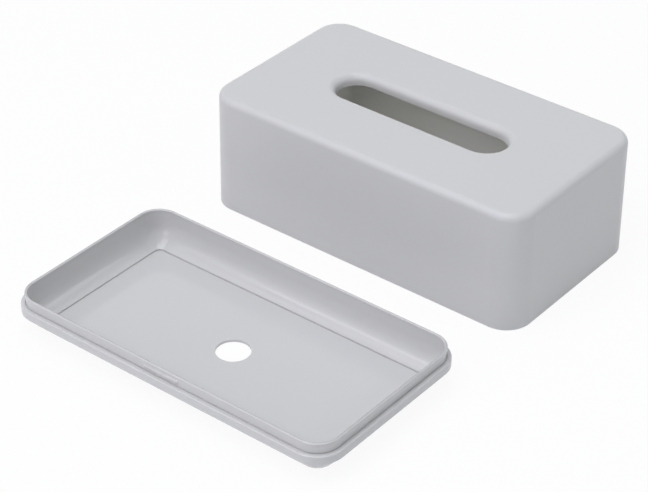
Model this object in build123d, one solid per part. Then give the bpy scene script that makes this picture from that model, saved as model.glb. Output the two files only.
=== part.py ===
from build123d import *
import math
import os

# Two-piece tissue case: a deep cover with a tissue slot in its roof, and the shallow tray that closes
# its open underside. They are laid out apart, parallel, on one flat surface at z = 0: the tray in front
# (-Y), the cover behind it (+Y). All sizes are in millimetres. Each piece is modelled centred on the
# Z axis with its lowest face at z = 0, and moved to its place in the layout at the end.

# The case
case_length = 260.0  # outer face to outer face along X, the same for cover rim and tray lip
case_width = 142.3  # along Y
corner_radius = 19.6  # upright corners, in plan
layout_gap = 54.7  # clear space between the two pieces as they are laid out

# The cover
cover_height = 88.5
cover_wall = 2.8  # side walls
roof = 2.8  # thickness of the roof and of the slot's rolled lip
side_draft = 0.34  # degrees that each side leans in towards the roof, so that it leaves its mould
roof_edge_radius = 4.9
rim_edge_break = 0.4  # chamfer on the outer edge of the open rim
rim_lead_in = 0.6  # chamfer inside the open rim, which guides it over the tray's wall

# The tissue slot
slot_length = 138.0  # of the clear opening
slot_width = 30.6
slot_roll_radius = 5.5  # the roof rolls down into the slot on this radius
slot_lip_drop = 2.4  # straight part of the lip below the roll
slot_lip_edge = 0.6  # chamfer on the lip's lower edges

# How the cover seats on the tray
seat_clearance = 0.4  # between the inside of the cover and the outside of the tray's wall
snap_clearance = 0.2  # round the snap rib in its recess

# The tray
tray_height = 27.8
ledge_height = 20.6  # the cover's rim stands on this ledge
lip_depth = 7.1  # height of the lip's outer face
lip_edge_break = 0.8  # chamfer on the lip's upper and lower outer edges
tray_wall = 2.0  # dish, floor and the foot of the wall
rim_wall = 1.4  # the wall thins to this at its rim, all on the inside, so that the tray leaves its mould
tray_rim_break = 0.4  # chamfer on both edges of the rim, which also leads the cover on
crease_inset = 14.9  # from the lip's outer face to the crease round the flat floor
crease_step = 0.3  # the floor lies this much below the foot of the dish
base_setback = 0.6  # the flat underside reaches this far outward from under the crease
foot_run = 2.75  # the dish rises from the crease in three facets: run and slope of the first
foot_slope = 26.0
middle_run = 2.65
middle_slope = 43.0
upper_slope = 60.0  # the third facet runs on to the upright wall
facet_blend = 1.5  # rounding between the facets
wall_blend = 15.0  # rounding between the third facet and the wall
finger_hole_radius = 11.7
finger_hole_edge = 0.2

# The snap ribs, one half-way along each long wall of the tray
rib_length = 30.0
rib_height = 3.0
rib_proud = 1.0
rib_edge_break = 0.8  # chamfer round the rib's face, over which the recess snaps
rib_rise = 1.8  # from the ledge to the lower edge of the rib

# Worked out from the sizes above
wall_inset = cover_wall + seat_clearance  # lip's outer face to the outside of the tray's wall
dish_inset = wall_inset + tray_wall  # lip's outer face to the inside of the tray's wall, at its foot
rim_inset = wall_inset + rim_wall  # and at its rim
layout_step = (case_width + layout_gap) / 2  # from the origin to the middle of each piece


def section_face(corners):
    """A face in the XZ plane, through (x, z, rounding radius) corners."""
    points = [(x, 0, z) for x, z, radius in corners]
    outline = FilletPolyline(points, radius=[radius for x, z, radius in corners], close=True)
    return make_face(outline.edges())


def carried_round(section, length, width, radius):
    """A section carried round a rounded rectangle. Its x = 0 follows the rectangle, +x points outward."""
    middle_x = length / 2 - radius
    middle_y = width / 2 - radius
    corner_axis = Axis((middle_x, middle_y, 0), (0, 0, 1))
    on_short_side = Pos(middle_x + radius, middle_y, 0) * section
    on_long_side = on_short_side.rotate(corner_axis, 90)
    corner = revolve(on_short_side, corner_axis, 90)
    half = [corner, mirror(corner, Plane.YZ), extrude(on_long_side, middle_x * 2, dir=(-1, 0, 0))]
    if middle_y > 0:
        half.append(extrude(on_short_side, middle_y * 2, dir=(0, -1, 0)))
    whole = half + [Rot(0, 0, 180) * piece for piece in half]
    return whole[0].fuse(*whole[1:]).clean()


def rounded_block(inset, height, draft=0.0):
    """An upright block with the case's plan, drawn in by an inset, that stands on z = 0."""
    plan = RectangleRounded(case_length - 2 * inset, case_width - 2 * inset, corner_radius - inset)
    return extrude(plan, height, taper=draft)


def snap_form(growth):
    """Snap rib on the front of the tray's wall, or the larger hollow that takes it, above the ledge."""
    plan = SlotOverall(rib_length + 2 * growth, rib_height + 2 * growth)
    root = wall_inset + tray_wall / 2
    pad = extrude(Plane.XZ * plan, root - wall_inset + rib_proud + growth)
    outer_edges = pad.faces().sort_by(Axis.Y)[0].edges()
    pad = chamfer(outer_edges, rib_edge_break)
    return Pos(0, root - case_width / 2, rib_rise + rib_height / 2) * pad


def on_both_long_walls(form):
    """The form and its mirror image across the case."""
    return [form, mirror(form, Plane.XZ)]


def slot_lip():
    """The edge of the slot: it rolls down from the roof and ends in a short upright lip."""
    lip_bottom = cover_height - slot_roll_radius - slot_lip_drop
    roof_underside = cover_height - roof
    root = slot_roll_radius + roof  # the roll's section runs this far out, into the roof
    section = section_face([
        (slot_lip_edge, lip_bottom, 0),
        (0, lip_bottom + slot_lip_edge, 0),
        (0, cover_height, slot_roll_radius),
        (root, cover_height, 0),
        (root, roof_underside, 0),
        (roof, roof_underside, slot_roll_radius - roof),
        (roof, lip_bottom + slot_lip_edge, 0),
        (roof - slot_lip_edge, lip_bottom, 0),
    ])
    return carried_round(section, slot_length, slot_width, slot_width / 2)


def make_cover():
    shell = rounded_block(0, cover_height, side_draft)
    shell = fillet(shell.faces().sort_by(Axis.Z)[-1].edges(), roof_edge_radius)
    shell = chamfer(shell.faces().sort_by(Axis.Z)[0].edges(), rim_edge_break)

    hollow = rounded_block(cover_wall, cover_height - roof, side_draft)
    hollow = chamfer(hollow.faces().sort_by(Axis.Z)[-1].edges(), roof_edge_radius - roof)
    shell -= hollow
    inner_rim = shell.faces().sort_by(Axis.Z)[0].inner_wires()[0]
    shell = chamfer(inner_rim.edges(), rim_lead_in)

    mouth_length = slot_length + 2 * slot_roll_radius
    mouth_width = slot_width + 2 * slot_roll_radius
    mouth = extrude(SlotOverall(mouth_length, mouth_width), 3 * roof)
    shell -= Pos(0, 0, cover_height - 2 * roof) * mouth
    shell += slot_lip()

    for recess in on_both_long_walls(snap_form(snap_clearance)):
        shell -= recess
    return shell


def mitred(before, corner, after, distance):
    """The corner of a bent line moved off square to both of its stretches, to its left."""
    sides = [(corner[0] - before[0], corner[1] - before[1]), (after[0] - corner[0], after[1] - corner[1])]
    normals = [(-dz / math.hypot(dx, dz), dx / math.hypot(dx, dz)) for dx, dz in sides]
    mean_x = normals[0][0] + normals[1][0]
    mean_z = normals[0][1] + normals[1][1]
    scale = distance / (mean_x * normals[0][0] + mean_z * normals[0][1])
    return (corner[0] + mean_x * scale, corner[1] + mean_z * scale)


def dish_section():
    """Wall and dish of the tray as one bent sheet, from the rim down to the crease round the floor."""
    crease = (-crease_inset, tray_wall + crease_step)
    foot_rise = foot_run * math.tan(math.radians(foot_slope))
    foot_top = (crease[0] + foot_run, crease[1] + foot_rise)
    middle_rise = middle_run * math.tan(math.radians(middle_slope))
    middle_top = (foot_top[0] + middle_run, foot_top[1] + middle_rise)
    upper_rise = (-dish_inset - middle_top[0]) * math.tan(math.radians(upper_slope))
    wall_foot = (-dish_inset, middle_top[1] + upper_rise)
    above_foot = (-dish_inset, tray_height)

    under_foot = mitred(crease, foot_top, middle_top, -tray_wall)
    under_middle = mitred(foot_top, middle_top, wall_foot, -tray_wall)
    under_wall = mitred(middle_top, wall_foot, above_foot, -tray_wall)
    return section_face([
        (-crease_inset, 0, 0),
        (*crease, 0),
        (*foot_top, facet_blend),
        (*middle_top, facet_blend),
        (*wall_foot, wall_blend),
        (-rim_inset, tray_height - tray_rim_break, 0),
        (-rim_inset + tray_rim_break, tray_height, 0),
        (-wall_inset - tray_rim_break, tray_height, 0),
        (-wall_inset, tray_height - tray_rim_break, 0),
        (*under_wall, wall_blend + tray_wall),
        (*under_middle, facet_blend + tray_wall),
        (*under_foot, facet_blend + tray_wall),
        (base_setback - crease_inset, 0, 0),
    ])


def lip_section():
    """The lip: a solid band outside the wall. Its top is the ledge, its foot is open underneath."""
    root = -wall_inset - tray_wall / 2
    lip_foot = ledge_height - lip_depth
    return section_face([
        (root, ledge_height, 0),
        (-lip_edge_break, ledge_height, 0),
        (0, ledge_height - lip_edge_break, 0),
        (0, lip_foot + lip_edge_break, 0),
        (-lip_edge_break, lip_foot, 0),
        (root, lip_foot, 0),
    ])


def make_base_tray():
    plan = (case_length, case_width, corner_radius)
    tray = rounded_block(crease_inset, tray_wall)
    tray += carried_round(dish_section(), *plan)
    tray += carried_round(lip_section(), *plan)
    for rib in on_both_long_walls(Pos(0, 0, ledge_height) * snap_form(0)):
        tray += rib

    tray -= Cylinder(finger_hole_radius, 3 * tray_wall)
    hole_edges = tray.edges().filter_by(GeomType.CIRCLE)
    hole_edges = hole_edges.filter_by(lambda edge: abs(edge.radius - finger_hole_radius) < 1e-6)
    return chamfer(hole_edges, finger_hole_edge)


cover = make_cover()
base_tray = make_base_tray()

seated_cover = Pos(0, 0, ledge_height) * cover
overlap = seated_cover & base_tray
overlap_volume = sum(solid.volume for solid in overlap.solids()) if overlap else 0.0
print(f"cover seated on the tray: overlap {overlap_volume:.4f} mm3")
print(f"seated height {ledge_height + cover_height:.1f} mm, inside height {cover_height - roof:.1f} mm")

placed = {
    "cover": Pos(0, layout_step, 0) * cover,
    "base_tray": Pos(0, -layout_step, 0) * base_tray,
}
os.makedirs("parts", exist_ok=True)
for node, shape in placed.items():
    export_step(shape, f"parts/{node}.step")
    print(node, len(shape.solids()), "solid,", f"{shape.volume / 1000:.1f} cm3")
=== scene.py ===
import bpy
import math
from mathutils import Matrix, Vector


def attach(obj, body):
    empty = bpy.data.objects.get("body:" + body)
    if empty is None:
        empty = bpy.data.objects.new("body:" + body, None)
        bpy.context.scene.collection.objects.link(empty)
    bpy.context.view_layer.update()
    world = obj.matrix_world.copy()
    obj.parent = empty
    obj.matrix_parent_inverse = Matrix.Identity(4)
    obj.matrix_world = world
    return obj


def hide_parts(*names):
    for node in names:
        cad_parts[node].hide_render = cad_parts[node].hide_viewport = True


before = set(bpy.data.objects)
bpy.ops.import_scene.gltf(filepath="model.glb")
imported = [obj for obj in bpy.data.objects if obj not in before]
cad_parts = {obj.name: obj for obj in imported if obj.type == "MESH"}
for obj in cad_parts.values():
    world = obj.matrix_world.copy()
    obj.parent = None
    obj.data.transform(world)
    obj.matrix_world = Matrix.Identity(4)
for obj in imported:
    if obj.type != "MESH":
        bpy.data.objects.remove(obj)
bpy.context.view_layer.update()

# Sizes in metres, colours in linear RGB. The frame is the CAD's: +Z up, the tray in front of the cover.
# Azimuths are in degrees from the front (-Y) towards +X, elevations in degrees above the floor.

# Camera, worked out from the outlines of both pieces in the 648 x 492 photograph
CAMERA_AT = (0.74579, -0.94395, 0.84910)
CAMERA_AZIMUTH = 38.464
CAMERA_ELEVATION = 34.233
CAMERA_ROLL = 0.317
FOCAL_PIXELS = 2196.3
PHOTO_WIDTH = 648
HALF_PIXEL = 0.5 / PHOTO_WIDTH  # the outlines were read at the middles of pixels
SENSOR = 36.0
NEAR, FAR = 0.05, 50

# The tray, in millimetres. Insets are measured inward from the lip's outer face.
MM = 0.001
TRAY_LENGTH = 260.0
TRAY_WIDTH = 142.3
TRAY_CORNER = 19.6
TRAY_CENTRE_Y = -98.5
RIM_HEIGHT = 27.8
LEDGE_HEIGHT = 20.6
LIP_FOOT = 13.25
WALL_OUTSIDE = 3.2
RIM_INSIDE = 4.35
WALL_INSIDE = 4.5  # at the foot of the upright wall, where the dish begins
WALL_THICKNESS = 1.45
FLOOR_HEIGHT = 2.0
CREASE_INSET = 14.9
CREASE_STEP = 0.3  # the dish ends this much above the floor
CREASE_RUN = 0.5  # and comes down to it over this width
DISH_END_SLOPE = 26.0  # degrees, where the dish meets the crease
BASE_INSET = 14.3
HOLE_RADIUS = 11.7

RIM_ROUNDING = 0.55
JUNCTION_ROUNDING = 0.4  # between the wall and the ledge
LEDGE_ROUNDING = 1.0
LIP_FOOT_ROUNDING = 1.5
CREASE_ROUNDING = 0.4
BASE_EDGE = 0.3
HOLE_EDGE = 0.25
HOLE_EDGE_BEND = 0.3  # share of it at which the hole's upper edge is bent, so that it is rounder
CREASE_MARGIN = 2.0  # width of a flat ring beside the crease, which keeps the floor's shading flat
HOLE_MARGIN = 1.0  # and of one round the hole

RIB_LENGTH = 30.0
RIB_HEIGHT = 3.0
RIB_PROUD = 0.8
RIB_ROUNDING = 1.2
RIB_ROOT = 0.7  # how deep the rib reaches into the wall
RIB_FLAT = 0.05  # half the width of the flat strip along its face
RIB_MIDDLE = 23.9  # height of the rib's middle above the surface

# How finely the tray is divided
CORNER_STEPS = 20
LONG_STEPS = 28
SHORT_STEPS = 14
DISH_STEPS = 26
BLENDED_STEPS = 3  # steps of the dish that the crease's rounding takes up
ROUNDING_STEPS = 6
RIB_STEPS = 32
SHARP_ANGLE = 35  # degrees between faces

# Materials
PLASTIC = (0.602, 0.601, 0.596)
PLASTIC_IOR = 1.49
CLOUDINESS = 0.015  # either way from the plain colour
GLOSS_SPREAD = 0.15  # either way from the roughness
COVER_ROUGHNESS = 0.36
TRAY_ROUGHNESS = 0.11
COVER_EDGE_ROUNDING = 0.0006
FLOOR_HALF_WIDTH = 6.0
FLOOR_DROP = 0.0003
FLOOR_WHITE = 0.88
FLOOR_GLOW = 0.92  # how much of the floor the camera sees as plain white

# Light
COOL = (0.927, 0.950, 1.0)
COOL_FRONT = (0.938, 0.922, 1.0)
WARM = (1.0, 0.99, 0.87)
AMBIENT = 0.39
AIM_Y = -0.05  # the bars face this line along X
AIM_HEIGHT = 0.03

# Square softboxes of the studio: name, azimuth, elevation, power in watts, colour
SOFTBOX_SIZE = 0.9
SOFTBOX_DISTANCE = 2.4
SOFTBOXES = (
    ("overhead", 0, 90, 3.8, COOL),
    ("high_left", -45, 73, 5.8, COOL),
    ("high_right", 45, 73, 5.5, COOL),
    ("high_back_left", -135, 73, 4.6, COOL),
    ("front_high", 0, 55, 5.2, COOL_FRONT),
    ("front_left", -30, 55, 3.0, COOL_FRONT),
    ("front_left_low", -30, 35, 3.2, COOL_FRONT),
    ("front_low", 0, 15, 5.2, COOL_FRONT),
    ("back_left", -150, 55, 1.7, COOL),
    ("back_right", 120, 35, 4.1, COOL),
)

# Long lamps parallel to the case, which the tray's dish reflects as one faint bright band:
# name, centre, length, thickness, power in watts
BARS = (
    ("low_bar", (-0.50, -1.75, 1.55), 1.9, 0.12, 3.4),
    ("high_bar", (-0.70, -0.90, 2.05), 1.7, 0.12, 3.2),
)

# A faint lamp on the floor under the cover: centre, length and width, power in watts
UNDER_COVER_AT = (0, 0.0985, 0.001)
UNDER_COVER_SIZE = (0.24, 0.12)
UNDER_COVER_POWER = 0.022


class Nodes:
    """A short way to write a node tree."""

    def __init__(self, tree):
        self.tree = tree
        tree.nodes.clear()

    def add(self, kind, **settings):
        node = self.tree.nodes.new(kind)
        for name, value in settings.items():
            if name in node.inputs.keys():
                node.inputs[name].default_value = value
            else:
                setattr(node, name, value)
        return node

    def link(self, source, target):
        self.tree.links.new(source, target)


def plastic(name, color, roughness, rounding=0.0):
    """Satin moulded plastic: faint cloudiness in its colour, a fine skin texture and uneven gloss.

    With a rounding, sharp edges catch the light as if they had that radius.
    """
    material = bpy.data.materials.new(name)
    material.use_nodes = True
    nodes = Nodes(material.node_tree)
    place = nodes.add("ShaderNodeTexCoord")
    shader = nodes.add("ShaderNodeBsdfPrincipled", IOR=PLASTIC_IOR)
    output = nodes.add("ShaderNodeOutputMaterial")
    nodes.link(shader.outputs["BSDF"], output.inputs["Surface"])

    cloud = nodes.add("ShaderNodeTexNoise", Scale=9.0, Detail=3.0, Roughness=0.5)
    nodes.link(place.outputs["Object"], cloud.inputs["Vector"])
    tint = nodes.add("ShaderNodeMix", data_type="RGBA")
    share, dark, light = tint.inputs[0], tint.inputs[6], tint.inputs[7]  # its colour sockets
    dark.default_value = (*[c * (1 - CLOUDINESS) for c in color], 1)
    light.default_value = (*[c * (1 + CLOUDINESS) for c in color], 1)
    nodes.link(cloud.outputs["Fac"], share)
    nodes.link(tint.outputs[2], shader.inputs["Base Color"])

    gloss = nodes.add("ShaderNodeMapRange")
    gloss.inputs["To Min"].default_value = roughness * (1 - GLOSS_SPREAD)
    gloss.inputs["To Max"].default_value = roughness * (1 + GLOSS_SPREAD)
    nodes.link(cloud.outputs["Fac"], gloss.inputs["Value"])
    nodes.link(gloss.outputs["Result"], shader.inputs["Roughness"])

    texture = nodes.add("ShaderNodeTexNoise", Scale=900.0, Detail=2.0, Roughness=0.6)
    nodes.link(place.outputs["Object"], texture.inputs["Vector"])
    bump = nodes.add("ShaderNodeBump", Strength=0.06, Distance=0.0001)
    nodes.link(texture.outputs["Fac"], bump.inputs["Height"])
    if rounding > 0:
        edges = nodes.add("ShaderNodeBevel", samples=4, Radius=rounding)
        nodes.link(edges.outputs["Normal"], bump.inputs["Normal"])
    nodes.link(bump.outputs["Normal"], shader.inputs["Normal"])
    return material


def dress(node, material):
    """Gives a CAD node's mesh its material."""
    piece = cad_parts[node]
    for slot in piece.material_slots:
        slot.link = "OBJECT"
        slot.material = material


def rounded_line(corners):
    """A bent line in a plane, through (x, y, radius) corners, with its corners rounded."""
    line = []
    for index, (x, y, radius) in enumerate(corners):
        here = Vector((x, y))
        if radius == 0 or index in (0, len(corners) - 1):
            line.append(here)
            continue
        back = (Vector(corners[index - 1][:2]) - here).normalized()
        ahead = (Vector(corners[index + 1][:2]) - here).normalized()
        half_angle = back.angle(ahead) / 2
        middle = here + (back + ahead).normalized() * radius / math.sin(half_angle)
        start = here + back * radius / math.tan(half_angle) - middle
        end = here + ahead * radius / math.tan(half_angle) - middle
        line.append(middle + start)
        line += [middle + start.slerp(end, step / ROUNDING_STEPS) for step in range(1, ROUNDING_STEPS)]
        line.append(middle + end)
    return [tuple(point) for point in line]


def perimeter(inset):
    """Points round the tray's plan, drawn in by an inset: corner arcs and divided straight sides."""
    reach_x = TRAY_LENGTH / 2 - TRAY_CORNER
    reach_y = TRAY_WIDTH / 2 - TRAY_CORNER
    radius = TRAY_CORNER - inset
    points = []
    for quarter, (sign_x, sign_y) in enumerate(((1, 1), (-1, 1), (-1, -1), (1, -1))):
        for step in range(CORNER_STEPS + 1):
            angle = math.radians(90 * (quarter + step / CORNER_STEPS))
            x = sign_x * reach_x + radius * math.cos(angle)
            y = sign_y * reach_y + radius * math.sin(angle)
            points.append(Vector((x, y)))
        steps, reach = (LONG_STEPS, reach_x) if quarter % 2 == 0 else (SHORT_STEPS, reach_y)
        start = points[-1].copy()
        direction = Vector((-math.sin(angle), math.cos(angle)))
        points += [start + direction * 2 * reach * step / steps for step in range(1, steps)]
    return points


def skin(name, rings, join_ends=False):
    """A mesh skin over rings of equally many points, in millimetres. Its ends are joined, or capped."""
    count = len(rings[0])
    faces = []
    for index in range(len(rings) if join_ends else len(rings) - 1):
        low, high = index * count, (index + 1) % len(rings) * count
        for step in range(count):
            turn = (step + 1) % count
            faces.append((low + step, low + turn, high + turn, high + step))
    if not join_ends:
        faces.append(tuple(reversed(range(count))))
        faces.append(tuple(range((len(rings) - 1) * count, len(rings) * count)))
    mesh = bpy.data.meshes.new(name)
    mesh.from_pydata([Vector(point) * MM for ring in rings for point in ring], [], faces)
    mesh.validate()
    mesh.shade_smooth()
    mesh.set_sharp_from_angle(angle=math.radians(SHARP_ANGLE))
    piece = bpy.data.objects.new(name, mesh)
    bpy.context.scene.collection.objects.link(piece)
    return piece


def tray_section():
    """The tray's section as (inset, height) points: floor, dish, rim, ledge, lip, underside."""
    end = math.radians(90 - DISH_END_SLOPE)
    radius = (CREASE_INSET - WALL_INSIDE) / (1 - math.cos(end))
    middle_inset = WALL_INSIDE + radius
    middle_height = FLOOR_HEIGHT + CREASE_STEP + radius * math.sin(end)

    def on_dish(turn, outward):
        reach = radius + outward
        return (middle_inset - reach * math.cos(turn), middle_height - reach * math.sin(turn))

    shares = [step / DISH_STEPS for step in range(DISH_STEPS + 1)]
    inside = [on_dish(end * (1 - share), 0) for share in shares]
    under_lip = math.asin((middle_height - LIP_FOOT) / (radius + WALL_THICKNESS))
    outside = [on_dish(under_lip + (end - under_lip) * share, WALL_THICKNESS) for share in shares]

    crease = rounded_line([
        (CREASE_INSET + CREASE_RUN + CREASE_MARGIN, FLOOR_HEIGHT, 0),
        (CREASE_INSET + CREASE_RUN, FLOOR_HEIGHT, CREASE_ROUNDING),
        (*inside[0], CREASE_ROUNDING),
        (*inside[BLENDED_STEPS], 0),
    ])
    upper = rounded_line([
        (*inside[-1], 0),
        (RIM_INSIDE, RIM_HEIGHT, RIM_ROUNDING),
        (WALL_OUTSIDE, RIM_HEIGHT, RIM_ROUNDING),
        (WALL_OUTSIDE, LEDGE_HEIGHT, JUNCTION_ROUNDING),
        (0, LEDGE_HEIGHT, LEDGE_ROUNDING),
        (0, LIP_FOOT, LIP_FOOT_ROUNDING),
        (*outside[0], 0),
    ])
    base = [(BASE_INSET, BASE_EDGE), (BASE_INSET + BASE_EDGE, 0)]
    return crease[:-1] + inside[BLENDED_STEPS:-1] + upper + outside[1:] + base


def hole_section():
    """The finger hole's edge as (radius, height) points, from the underside up to the floor."""
    bend = HOLE_EDGE * HOLE_EDGE_BEND
    return [
        (HOLE_RADIUS + HOLE_EDGE, 0),
        (HOLE_RADIUS, HOLE_EDGE),
        (HOLE_RADIUS, FLOOR_HEIGHT - HOLE_EDGE),
        (HOLE_RADIUS + bend, FLOOR_HEIGHT - bend),
        (HOLE_RADIUS + HOLE_EDGE, FLOOR_HEIGHT),
        (HOLE_RADIUS + HOLE_MARGIN, FLOOR_HEIGHT),
    ]


def tray_rings():
    """Rings from the finger hole out over the floor and round the section to the underside."""
    angles = [math.atan2(point.y, point.x) for point in perimeter(CREASE_INSET)]
    rings = [
        [(radius * math.cos(angle), radius * math.sin(angle), height) for angle in angles]
        for radius, height in hole_section()
    ]
    rings += [[(*point, height) for point in perimeter(inset)] for inset, height in tray_section()]
    return [[(x, y + TRAY_CENTRE_Y, z) for x, y, z in ring] for ring in rings]


def rib_rings(side):
    """Rings of one snap rib, from inside the wall to its rounded face. The side is -1 or 1 along Y."""
    flat = RIB_HEIGHT / 2 - RIB_FLAT
    profile = rounded_line([(0, -RIB_ROOT, 0), (0, RIB_PROUD, RIB_ROUNDING), (flat, RIB_PROUD, 0)])
    straight = (RIB_LENGTH - RIB_HEIGHT) / 2
    rings = []
    for inset, depth in profile:
        radius = RIB_HEIGHT / 2 - inset
        y = TRAY_CENTRE_Y + side * (TRAY_WIDTH / 2 - WALL_OUTSIDE + depth)
        ring = []
        for step in range(RIB_STEPS):
            angle = math.radians(360 * (step + 0.5) / RIB_STEPS)
            x = math.copysign(straight, math.cos(angle)) + radius * math.cos(angle)
            ring.append((x, y, RIB_MIDDLE + radius * math.sin(angle)))
        rings.append(ring if side < 0 else ring[::-1])
    return rings


def moulded_tray(material):
    """The tray with its smooth dish and rounded edges, in the place of the CAD tray."""
    body = skin("tray_body", tray_rings(), join_ends=True)
    ribs = [skin(f"snap_rib_{name}", rib_rings(side)) for name, side in (("front", -1), ("back", 1))]
    for piece in [body] + ribs:
        piece.data.materials.append(material)
        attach(piece, "base_tray")
        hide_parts("base_tray")


def either(nodes, path, *rays):
    """1 for a ray of any of the given kinds, otherwise 0."""
    result = path.outputs[rays[0]]
    for ray in rays[1:]:
        larger = nodes.add("ShaderNodeMath", operation="MAXIMUM")
        nodes.link(result, larger.inputs[0])
        nodes.link(path.outputs[ray], larger.inputs[1])
        result = larger.outputs["Value"]
    return result


def white_floor():
    """The white floor that the pieces stand on. The camera sees it near white, with a faint shadow."""
    half = FLOOR_HALF_WIDTH
    mesh = bpy.data.meshes.new("floor")
    corners = [(-half, -half, 0), (half, -half, 0), (half, half, 0), (-half, half, 0)]
    mesh.from_pydata(corners, [], [(0, 1, 2, 3)])
    floor = bpy.data.objects.new("floor", mesh)
    floor.location.z = -FLOOR_DROP
    bpy.context.scene.collection.objects.link(floor)
    material = bpy.data.materials.new("floor_white")
    material.use_nodes = True
    nodes = Nodes(material.node_tree)
    paper = nodes.add("ShaderNodeBsdfDiffuse", Color=(FLOOR_WHITE, FLOOR_WHITE, FLOOR_WHITE, 1))
    glow = nodes.add("ShaderNodeEmission", Strength=1.0)
    path = nodes.add("ShaderNodeLightPath")
    share = nodes.add("ShaderNodeMath", operation="MULTIPLY")
    share.inputs[1].default_value = FLOOR_GLOW
    nodes.link(either(nodes, path, "Is Camera Ray", "Is Glossy Ray"), share.inputs[0])
    mix = nodes.add("ShaderNodeMixShader")
    nodes.link(share.outputs["Value"], mix.inputs["Fac"])
    nodes.link(paper.outputs["BSDF"], mix.inputs[1])
    nodes.link(glow.outputs["Emission"], mix.inputs[2])
    output = nodes.add("ShaderNodeOutputMaterial")
    nodes.link(mix.outputs["Shader"], output.inputs["Surface"])
    mesh.materials.append(material)


def white_surround():
    """A world that the camera and the gloss see white, and that lights the pieces less."""
    world = bpy.data.worlds.new("studio")
    bpy.context.scene.world = world
    world.use_nodes = True
    nodes = Nodes(world.node_tree)
    ambient = nodes.add("ShaderNodeBackground", Color=(*COOL, 1), Strength=AMBIENT)
    white = nodes.add("ShaderNodeBackground", Color=(1, 1, 1, 1), Strength=1.0)
    path = nodes.add("ShaderNodeLightPath")
    mix = nodes.add("ShaderNodeMixShader")
    rays = either(nodes, path, "Is Camera Ray", "Is Glossy Ray", "Is Transmission Ray")
    nodes.link(rays, mix.inputs["Fac"])
    nodes.link(ambient.outputs["Background"], mix.inputs[1])
    nodes.link(white.outputs["Background"], mix.inputs[2])
    output = nodes.add("ShaderNodeOutputWorld")
    nodes.link(mix.outputs["Shader"], output.inputs["Surface"])


def towards(azimuth, elevation):
    """The direction, from the pieces, with an azimuth and an elevation in degrees."""
    turn, tilt = math.radians(azimuth), math.radians(elevation)
    return Vector((math.sin(turn) * math.cos(tilt), -math.cos(turn) * math.cos(tilt), math.sin(tilt)))


def area_lamp(name, width, height, power, color, middle, side, outward):
    """A rectangular lamp: its width runs along side, its back faces outward."""
    lamp = bpy.data.lights.new(name, "AREA")
    lamp.shape = "RECTANGLE"
    lamp.size = width
    lamp.size_y = height
    lamp.energy = power
    lamp.color = color
    holder = bpy.data.objects.new(name, lamp)
    turn = Matrix((side, outward.cross(side), outward)).transposed().to_4x4()
    holder.matrix_world = Matrix.Translation(middle) @ turn
    bpy.context.scene.collection.objects.link(holder)
    return holder


def softbox(name, azimuth, elevation, power, color):
    """A square lamp that faces the pieces."""
    outward = towards(azimuth, elevation)
    side = towards(azimuth + 90, 0)
    middle = Vector((0, 0, AIM_HEIGHT)) + outward * SOFTBOX_DISTANCE
    area_lamp(name, SOFTBOX_SIZE, SOFTBOX_SIZE, power, color, middle, side, outward)


def bar(name, middle, length, thickness, power):
    """A long lamp parallel to X that faces the pieces."""
    middle = Vector(middle)
    outward = (middle - Vector((middle.x, AIM_Y, AIM_HEIGHT))).normalized()
    area_lamp(name, length, thickness, power, COOL_FRONT, middle, Vector((1, 0, 0)), outward)


def studio_lamps():
    """The softboxes, the bars and the lamp under the cover.

    The last one stands for light that reaches the inside of the real cover. The camera can't see it.
    """
    for settings in SOFTBOXES:
        softbox(*settings)
    for settings in BARS:
        bar(*settings)
    along_x, downward = Vector((1, 0, 0)), Vector((0, 0, -1))
    under_cover = area_lamp(
        "under_cover", *UNDER_COVER_SIZE, UNDER_COVER_POWER, WARM, UNDER_COVER_AT, along_x, downward
    )
    under_cover.visible_camera = False


def photo_camera():
    """The camera that the photograph was taken with, as far as its outlines tell."""
    data = bpy.data.cameras.new("photo_camera")
    data.sensor_width = SENSOR
    data.lens = FOCAL_PIXELS / PHOTO_WIDTH * SENSOR
    data.shift_x = -HALF_PIXEL
    data.shift_y = HALF_PIXEL
    data.clip_start = NEAR
    data.clip_end = FAR
    camera = bpy.data.objects.new("photo_camera", data)
    turn = Matrix.Rotation(math.radians(CAMERA_AZIMUTH), 4, "Z")
    tilt = Matrix.Rotation(math.radians(90 - CAMERA_ELEVATION), 4, "X")
    roll = Matrix.Rotation(math.radians(CAMERA_ROLL), 4, "Z")
    camera.matrix_world = Matrix.Translation(CAMERA_AT) @ turn @ tilt @ roll
    bpy.context.scene.collection.objects.link(camera)
    bpy.context.scene.camera = camera


dress("cover", plastic("cover_plastic", PLASTIC, COVER_ROUGHNESS, COVER_EDGE_ROUNDING))
moulded_tray(plastic("tray_plastic", PLASTIC, TRAY_ROUGHNESS))
white_floor()
white_surround()
studio_lamps()
photo_camera()
bpy.context.scene.view_settings.view_transform = "Standard"
